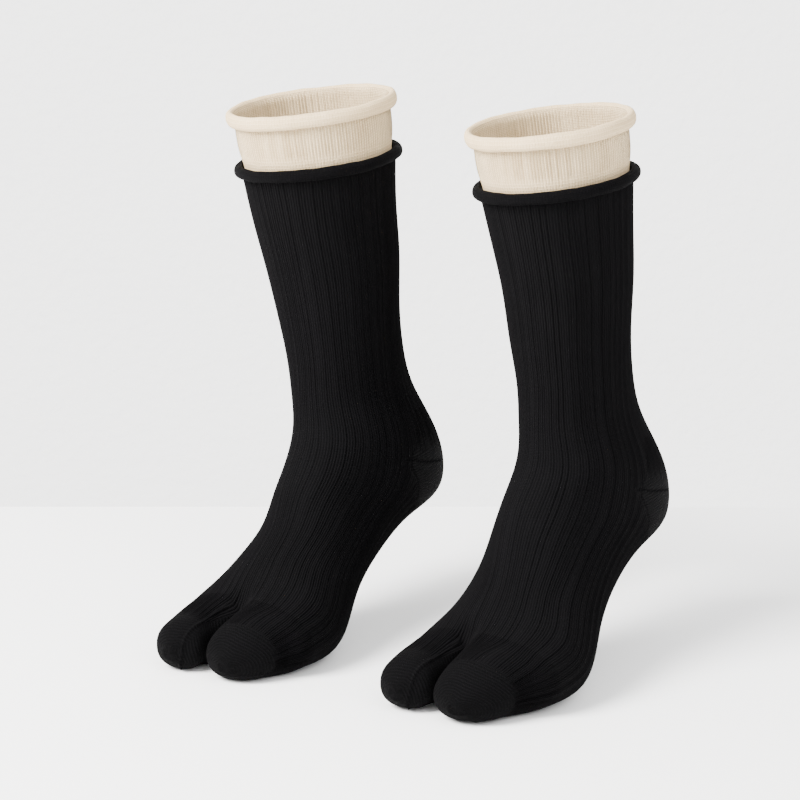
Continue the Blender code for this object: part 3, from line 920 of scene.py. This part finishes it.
@dataclass
class Finish:
    """One knitted finish: yarn colours, sheen and how strongly its stitches stand out."""

    name: str
    slot: Slot
    # dark is where painted shade between stitches and on plain knit pulls the colour; random specks and
    # patches also move it between dark and light
    dark: Tuple[float, float, float]
    light: Tuple[float, float, float]
    roughness: float
    sheen: float
    sheen_tint: Tuple[float, float, float]
    stitch_depth: float
    nap_depth: float

    def build(self, groups: "YarnGroups") -> bpy.types.Material:
        """Make the material.

        Args:
            groups: the shared node groups.

        Returns:
            A matte cloth whose stitches follow the piece's "knit" UV map.
        """
        material = bpy.data.materials.new(self.name)
        material.use_nodes = True
        tree = material.node_tree
        shader = tree.nodes["Principled BSDF"]
        shader.inputs["Roughness"].default_value = self.roughness
        shader.inputs["Specular IOR Level"].default_value = 0.03
        shader.inputs["Sheen Weight"].default_value = self.sheen
        shader.inputs["Sheen Roughness"].default_value = 0.55
        shader.inputs["Sheen Tint"].default_value = (*self.sheen_tint, 1)
        knit_map = tree.nodes.new("ShaderNodeUVMap")
        knit_map.uv_map = "knit"
        place = tree.nodes.new("ShaderNodeTexCoord")
        plain = tree.nodes.new("ShaderNodeAttribute")
        plain.attribute_name = "plain"
        stitches = tree.nodes.new("ShaderNodeGroup")
        stitches.node_tree = groups.stitches
        tree.links.new(knit_map.outputs["UV"], stitches.inputs["Knit"])
        tree.links.new(plain.outputs["Fac"], stitches.inputs["Plain"])
        nap = tree.nodes.new("ShaderNodeGroup")
        nap.node_tree = groups.nap
        tree.links.new(place.outputs["Object"], nap.inputs["Position"])
        yarn = tree.nodes.new("ShaderNodeGroup")
        yarn.node_tree = groups.yarn
        yarn.inputs["Dark"].default_value = (*self.dark, 1)
        yarn.inputs["Light"].default_value = (*self.light, 1)
        tree.links.new(place.outputs["Object"], yarn.inputs["Position"])
        # the stitch height also feeds the colour, as painted shade between stitches
        tree.links.new(stitches.outputs["Height"], yarn.inputs["Height"])
        tree.links.new(plain.outputs["Fac"], yarn.inputs["Plain"])
        tree.links.new(yarn.outputs["Colour"], shader.inputs["Base Color"])
        bumps = []
        for source, depth in ((stitches, self.stitch_depth), (nap, self.nap_depth)):
            bump = tree.nodes.new("ShaderNodeBump")
            bump.inputs["Strength"].default_value = 1.0
            bump.inputs["Distance"].default_value = depth * MM
            tree.links.new(source.outputs["Height"], bump.inputs["Height"])
            bumps.append(bump)
        tree.links.new(bumps[0].outputs["Normal"], bumps[1].inputs["Normal"])
        tree.links.new(bumps[1].outputs["Normal"], shader.inputs["Normal"])
        return material


@dataclass
class Steps:
    """Adds nodes to one group in the order of a sum."""

    tree: bpy.types.NodeTree

    def math(self, operation: str, *values: object, clamp: bool = False) -> bpy.types.NodeSocket:
        """Add a Math node.

        Args:
            operation: the node's operation.
            values: sockets or plain numbers, in order.
            clamp: whether the result is kept from 0 to 1.

        Returns:
            Its output.
        """
        node = self.tree.nodes.new("ShaderNodeMath")
        node.operation = operation
        node.use_clamp = clamp
        for socket, value in zip(node.inputs, values):
            if isinstance(value, (int, float)):
                socket.default_value = value
            else:
                self.tree.links.new(value, socket)
        return node.outputs[0]

    def wave(self, value: bpy.types.NodeSocket, rate: float) -> bpy.types.NodeSocket:
        """Add |sin(rate x value)|."""
        return self.math("ABSOLUTE", self.math("SINE", self.math("MULTIPLY", value, rate)))

    def noise(self, vector: bpy.types.NodeSocket, scale: float, detail: float) -> bpy.types.NodeSocket:
        """Add 3-D noise at a scale per metre and return its value."""
        node = self.tree.nodes.new("ShaderNodeTexNoise")
        node.inputs["Scale"].default_value = scale
        node.inputs["Detail"].default_value = detail
        self.tree.links.new(vector, node.inputs["Vector"])
        return node.outputs[0]


class YarnGroups:
    """The node groups that every knitted finish shares."""

    def __init__(self) -> None:
        """Build the stitch, nap and yarn colour groups."""
        self.stitches = self.make_stitches()
        self.nap = self.make_nap()
        self.yarn = self.make_yarn_and_painted_shade()

    @staticmethod
    def start(name: str, inputs: Sequence[Tuple[str, str]], outputs: Sequence[Tuple[str, str]]) -> Tuple:
        """A new group with its sockets.

        Args:
            name: group name.
            inputs: pairs of socket name and socket type.
            outputs: pairs of socket name and socket type.

        Returns:
            The group, its input node and its output node.
        """
        tree = bpy.data.node_groups.new(name, "ShaderNodeTree")
        for label, kind in inputs:
            tree.interface.new_socket(name=label, in_out="INPUT", socket_type=kind)
        for label, kind in outputs:
            tree.interface.new_socket(name=label, in_out="OUTPUT", socket_type=kind)
        return tree, tree.nodes.new("NodeGroupInput"), tree.nodes.new("NodeGroupOutput")

    def make_stitches(self) -> bpy.types.NodeTree:
        """Height of V-shaped stitches: two legs to a rib, each slanting half a row, sunk between the ribs."""
        tree, given, result = self.start(
            "Knit stitches", (("Knit", "NodeSocketVector"), ("Plain", "NodeSocketFloat")),
            (("Height", "NodeSocketFloat"),))
        steps = Steps(tree)
        parts = tree.nodes.new("ShaderNodeSeparateXYZ")
        tree.links.new(given.outputs["Knit"], parts.inputs[0])
        legs = steps.wave(parts.outputs[0], 2 * math.pi)
        slant = steps.math("PINGPONG", parts.outputs[0], 0.5)
        row = steps.math("ADD", parts.outputs[1], slant)
        wave = steps.math("COSINE", steps.math("MULTIPLY", row, 2 * math.pi))
        bead = steps.math("ADD", steps.math("MULTIPLY", wave, 0.4), 0.6)
        between = steps.wave(parts.outputs[0], math.pi)
        raised = steps.math("SUBTRACT", 1.0, steps.math("MULTIPLY", steps.math("POWER", between, 3.0), 0.75))
        ribbed = steps.math("MULTIPLY", steps.math("MULTIPLY", steps.math("POWER", legs, 0.6), bead), raised)
        line = steps.wave(row, math.pi / 2)
        flat = steps.math("MULTIPLY", line, steps.math("ADD", steps.math("MULTIPLY", legs, 0.35), 0.65))
        share = given.outputs["Plain"]
        height = steps.math("ADD", steps.math("MULTIPLY", ribbed, steps.math("SUBTRACT", 1.0, share)),
                            steps.math("MULTIPLY", flat, share))
        tree.links.new(height, result.inputs["Height"])
        return tree

    def make_nap(self) -> bpy.types.NodeTree:
        """Height of loose fibres: fine noise over a coarser lumpiness."""
        tree, given, result = self.start("Yarn nap", (("Position", "NodeSocketVector"),),
                                         (("Height", "NodeSocketFloat"),))
        steps = Steps(tree)
        fine = steps.noise(given.outputs["Position"], 1700, 3)
        lumps = steps.noise(given.outputs["Position"], 420, 2)
        tree.links.new(steps.math("ADD", fine, steps.math("MULTIPLY", lumps, 0.8)), result.inputs["Height"])
        return tree

    def make_yarn_and_painted_shade(self) -> bpy.types.NodeTree:
        """Colour between dark and light: random specks and patches, with painted shade that darkens it
        between stitches, where the stitch height is low, and on plain knit.
        """
        tree, given, result = self.start(
            "Yarn colour", (("Position", "NodeSocketVector"), ("Height", "NodeSocketFloat"),
                            ("Plain", "NodeSocketFloat"),
                            ("Dark", "NodeSocketColor"), ("Light", "NodeSocketColor")),
            (("Colour", "NodeSocketColor"),))
        steps = Steps(tree)
        specks = steps.noise(given.outputs["Position"], 900, 3)
        patches = steps.noise(given.outputs["Position"], 60, 2)
        mixed = steps.math("ADD", steps.math("MULTIPLY", specks, 0.35), steps.math("MULTIPLY", patches, 0.25))
        # painted shade: darker where the stitch height is low, in the grooves between stitches, and darker on
        # plain knit, whose flatter stitches cast less shade of their own
        shade = steps.math("SUBTRACT", steps.math("MULTIPLY", given.outputs["Height"], 0.75),
                           steps.math("MULTIPLY", given.outputs["Plain"], 0.34))
        share = steps.math("ADD", mixed, shade, clamp=True)
        mix = tree.nodes.new("ShaderNodeMix")
        mix.data_type = "RGBA"
        tree.links.new(share, mix.inputs["Factor"])
        tree.links.new(given.outputs["Dark"], mix.inputs[6])
        tree.links.new(given.outputs["Light"], mix.inputs[7])
        tree.links.new(mix.outputs[2], result.inputs["Colour"])
        return tree


@dataclass
class Wardrobe:
    """The four knitted finishes."""

    groups: YarnGroups = field(default_factory=YarnGroups)
    materials: Dict[Slot, bpy.types.Material] = field(default_factory=dict)

    def __post_init__(self) -> None:
        """Build one material for each slot."""
        finishes = (
            Finish("Black rib knit", Slot.BLACK_RIB, (0.0004, 0.0004, 0.0005), (0.0030, 0.0028, 0.0032),
                   0.9, 0.006, (0.8, 0.76, 0.8), 0.30, 0.14),
            # the plain knit's light colour is a little darker than the rib's: painted shade standing in for
            # the shade that rib grooves cast
            Finish("Black plain knit", Slot.BLACK_PLAIN, (0.0004, 0.0004, 0.0005), (0.0026, 0.0024, 0.0028),
                   0.9, 0.004, (0.8, 0.76, 0.8), 0.50, 0.18),
            # the cream rib's dark colour is deep and warm: it is the colour of the painted shade in its
            # grooves
            Finish("Cream rib knit", Slot.CREAM_RIB, (0.24, 0.14, 0.05), (0.88, 0.72, 0.47),
                   0.9, 0.03, (1, 0.95, 0.86), 0.45, 0.20),
            Finish("Cream plain knit", Slot.CREAM_PLAIN, (0.42, 0.28, 0.13), (0.84, 0.68, 0.44),
                   0.92, 0.04, (1, 0.95, 0.86), 0.22, 0.45))
        for finish in finishes:
            self.materials[finish.slot] = finish.build(self.groups)


@dataclass
class Sock:
    """One whole sock standing on its form's place."""

    name: str
    sections: Sequence[Section]
    big_toe: Sequence[Toe]
    small_toes: Sequence[Toe]
    split_x: float
    place: Tuple[float, float]
    seed: int
    loft: Loft = field(init=False)

    def __post_init__(self) -> None:
        """Make the leg-and-foot loft."""
        self.loft = Loft(self.sections, self.split_x)

    def opening(self) -> np.ndarray:
        """Middle of the top opening at the level of the cream roll, above the floor, in millimetres."""
        top = self.sections[0]
        middle = np.array([top.mid_x, (top.front_y + top.back_y) / 2, (top.front_z + top.back_z) / 2])
        return middle + self.loft.axis() * CREAM_ROLL_RISE + np.array([*self.place, 0])

    def put(self, build: PieceBuilder, ending: str, knit: KnitSurface, wardrobe: Wardrobe, slot: Slot,
            cells: Optional[np.ndarray] = None) -> None:
        """Build and dress one piece of knit.

        Args:
            build: turns grids into objects.
            ending: the piece's and the CAD node's name after the sock's.
            knit: the wall's grids.
            wardrobe: the finishes.
            slot: the piece's slot.
            cells: the cells of the grid that belong to the piece.
        """
        node = f"{self.name}_{ending}"
        name = node + "_knit"
        item = build.ring(name, knit) if knit.inner is None else build.wall(name, knit, cells)
        dress(item, wardrobe.materials[slot], slot, node)

    @staticmethod
    def stretched(line: Sequence[Tuple[float, float, float]],
                  factor: float) -> Tuple[Tuple[float, float, float], ...]:
        """The same line on toes that are longer by a factor from the split."""
        return tuple((x, SPLIT_Y + (y - SPLIT_Y) * factor, z) for x, y, z in line)

    def make(self, origin: np.ndarray, wardrobe: Wardrobe) -> None:
        """Build every piece of the sock."""
        build = PieceBuilder(np.array([*self.place, 0.0]) - origin)
        foot = LegAndFoot(self.loft, RibKnit(RIBS, 0.42, 0.80, 3.4, self.seed))
        knit, angle = foot.surface()
        cells = foot.parts(angle)
        self.put(build, "leg", knit, wardrobe, Slot.BLACK_RIB, cells["leg"])
        self.put(build, "instep", knit, wardrobe, Slot.BLACK_RIB, cells["instep"])
        self.put(build, "heel", knit, wardrobe, Slot.BLACK_PLAIN, cells["heel"])
        self.put(build, "sole", knit, wardrobe, Slot.BLACK_PLAIN, cells["sole"])
        stretch = (self.big_toe[-1].y - SPLIT_Y) / (BIG_TOE_1[-1].y - SPLIT_Y)
        big_seam = Stitching(self.stretched(BIG_TOE_SEAM, stretch), 1.1, 0.95, 2.1, 0.6)
        small_seam = Stitching(self.stretched(RIB_END_SEAM, stretch), 0.55, 0.9, 2.0, 0.4)
        low_seam = Stitching(self.stretched(LOW_SEAM, stretch), 0.5, 0.8, 2.0, 0.4)
        big_rib_end = (SPLIT_Y - 10 * stretch, SPLIT_Y - 20 * stretch)
        small_rib_end = (SPLIT_Y - 15 * stretch, SPLIT_Y - 18 * stretch)
        big = ToePocket(foot, self.big_toe, -1, big_rib_end, (big_seam,))
        small = ToePocket(foot, self.small_toes, 1, small_rib_end, (small_seam, low_seam))
        self.put(build, "big_toe", big.surface(), wardrobe, Slot.BLACK_PLAIN, None)
        self.put(build, "small_toes", small.surface(), wardrobe, Slot.BLACK_PLAIN, None)
        edge = RolledEdge(self.loft, 3.7, 1.6, 2.8, 3.4, self.seed + 10)
        self.put(build, "edge_roll", edge.surface(), wardrobe, Slot.BLACK_PLAIN)
        cuff = InnerCuff(self.loft, RibKnit(150, 0.90, 1.15, 6.0, self.seed + 20),
                         RibKnit(150, 0.2, 0.3, 7.0, self.seed + 30))
        self.put(build, "cuff", cuff.surface(), wardrobe, Slot.CREAM_RIB)
        top = RolledEdge(self.loft, CREAM_ROLL_RISE, 2.6, 2.5, 4.1, self.seed + 40)
        self.put(build, "cuff_roll", top.surface(), wardrobe, Slot.CREAM_PLAIN)


@dataclass
class Studio:
    """Pale floor and wall, soft light and the camera."""

    floor_z: float
    floor_end: float = 0.2514
    wall_y: float = 2.7
    wall_drop: float = 1.5
    turn: float = 32.0
    tilt: float = 14.0
    distance: float = 2.0
    lens: float = 162.0

    def surfaces(self) -> None:
        """The floor, which ends behind the socks, and a glowing wall well beyond it, square to the camera."""
        heading = math.radians(self.turn)
        away = Vector((-math.sin(heading), math.cos(heading), 0))
        base = Vector((0, 0, self.floor_z))
        floor = self.plane("floor", 3.0, away * self.floor_end + base, (0.95, 0.95, 0.952), 0.0, 0.0)
        floor.rotation_euler = (0, 0, heading + math.pi)
        centre = away * self.wall_y + base - Vector((0, 0, self.wall_drop))
        wall = self.plane("wall", 3.0, centre, (0.80, 0.798, 0.795), 0.9, 1.9)
        wall.rotation_euler = (math.pi / 2, 0, heading)

    @staticmethod
    def plane(name: str, half: float, at: Vector, colour: Tuple[float, float, float], grain: float,
              glow: float) -> bpy.types.Object:
        """A flat stage surface, twice as wide as it is long.

        Args:
            name: object name.
            half: half of its width, and its length, in metres.
            at: middle of the long edge that it starts from.
            colour: its paint.
            grain: strength of the plaster's grain.
            glow: strength of its own light.

        Returns:
            The linked object.
        """
        mesh = bpy.data.meshes.new(name)
        mesh.from_pydata([(-half, 0, 0), (half, 0, 0), (half, half, 0), (-half, half, 0)], [], [(0, 1, 2, 3)])
        item = bpy.data.objects.new(name, mesh)
        item.location = at
        bpy.context.scene.collection.objects.link(item)
        material = bpy.data.materials.new(name + " paint")
        material.use_nodes = True
        tree = material.node_tree
        shader = tree.nodes["Principled BSDF"]
        shader.inputs["Base Color"].default_value = (*colour, 1)
        shader.inputs["Roughness"].default_value = 0.75
        shader.inputs["Emission Color"].default_value = (*colour, 1)
        shader.inputs["Emission Strength"].default_value = glow
        if grain:
            place = tree.nodes.new("ShaderNodeTexCoord")
            noise = tree.nodes.new("ShaderNodeTexNoise")
            noise.inputs["Scale"].default_value = 65
            noise.inputs["Detail"].default_value = 5
            bump = tree.nodes.new("ShaderNodeBump")
            bump.inputs["Strength"].default_value = grain
            bump.inputs["Distance"].default_value = 0.004
            tree.links.new(place.outputs["Object"], noise.inputs["Vector"])
            tree.links.new(noise.outputs[0], bump.inputs["Height"])
            tree.links.new(bump.outputs["Normal"], shader.inputs["Normal"])
        mesh.materials.append(material)
        return item

    def aim(self, item: bpy.types.Object, at: Vector) -> None:
        """Turn an object so that its -Z axis points at a place."""
        item.rotation_euler = (at - item.location).to_track_quat("-Z", "Y").to_euler()

    def lamp(self, name: str, place: Tuple[float, float, float], size: float, power: float,
             colour: Tuple[float, float, float]) -> None:
        """Add a square soft light that faces the socks.

        Args:
            name: object name.
            place: right of the camera, towards it and above the floor, in metres.
            size: side in metres.
            power: watts.
            colour: light colour.
        """
        heading = math.radians(self.turn)
        right = Vector((math.cos(heading), math.sin(heading), 0))
        near = Vector((math.sin(heading), -math.cos(heading), 0))
        light = bpy.data.lights.new(name, "AREA")
        light.size = size
        light.energy = power
        light.color = colour
        item = bpy.data.objects.new(name, light)
        item.location = right * place[0] + near * place[1] + Vector((0, 0, place[2] + self.floor_z))
        bpy.context.scene.collection.objects.link(item)
        self.aim(item, Vector((0, 0, self.floor_z + 0.12)))

    def light(self) -> None:
        """A large key from the upper left, a weak fill and an even sky."""
        self.lamp("key", (-1.5, 0.9, 1.6), 1.2, 265, (1, 0.985, 0.965))
        self.lamp("fill", (0.9, 1.8, 1.6), 1.6, 45, (0.98, 0.99, 1))
        world = bpy.data.worlds.new("studio")
        world.use_nodes = True
        background = world.node_tree.nodes["Background"]
        background.inputs["Color"].default_value = (1, 0.995, 0.985, 1)
        background.inputs["Strength"].default_value = 1.85
        bpy.context.scene.world = world

    def camera(self, target: Vector) -> None:
        """A long lens a little above and to the right of the toes."""
        heading = math.radians(self.turn)
        tilt = math.radians(self.tilt)
        data = bpy.data.cameras.new("camera")
        data.lens = self.lens
        data.sensor_width = 36
        item = bpy.data.objects.new("camera", data)
        level = math.cos(tilt)
        back = Vector((math.sin(heading) * level, -math.cos(heading) * level, math.sin(tilt)))
        item.location = target + back * self.distance
        bpy.context.scene.collection.objects.link(item)
        self.aim(item, target)
        bpy.context.scene.camera = item


def main() -> None:
    """Build the pair of socks and the studio."""
    logging.basicConfig(level=logging.INFO, format="%(message)s")
    socks = (Sock("sock1", LEG_FOOT_1, BIG_TOE_1, SMALL_TOES_1, -5.0, (-24.0, 70.0), 3),
             Sock("sock2", LEG_FOOT_2, BIG_TOE_2, SMALL_TOES_2, -10.0, (120.0, 84.0), 8))
    origin = (socks[0].opening() + socks[1].opening()) / 2
    LOG.info("origin above the floor: %s mm", np.round(origin, 2))
    wardrobe = Wardrobe()
    for sock in socks:
        sock.make(origin, wardrobe)
    studio = Studio(-origin[2] * MM)
    studio.surfaces()
    studio.light()
    studio.camera(Vector((np.array([40.0, 0.0, 150.0]) - origin) * MM))


if __name__ == "__main__":
    main()
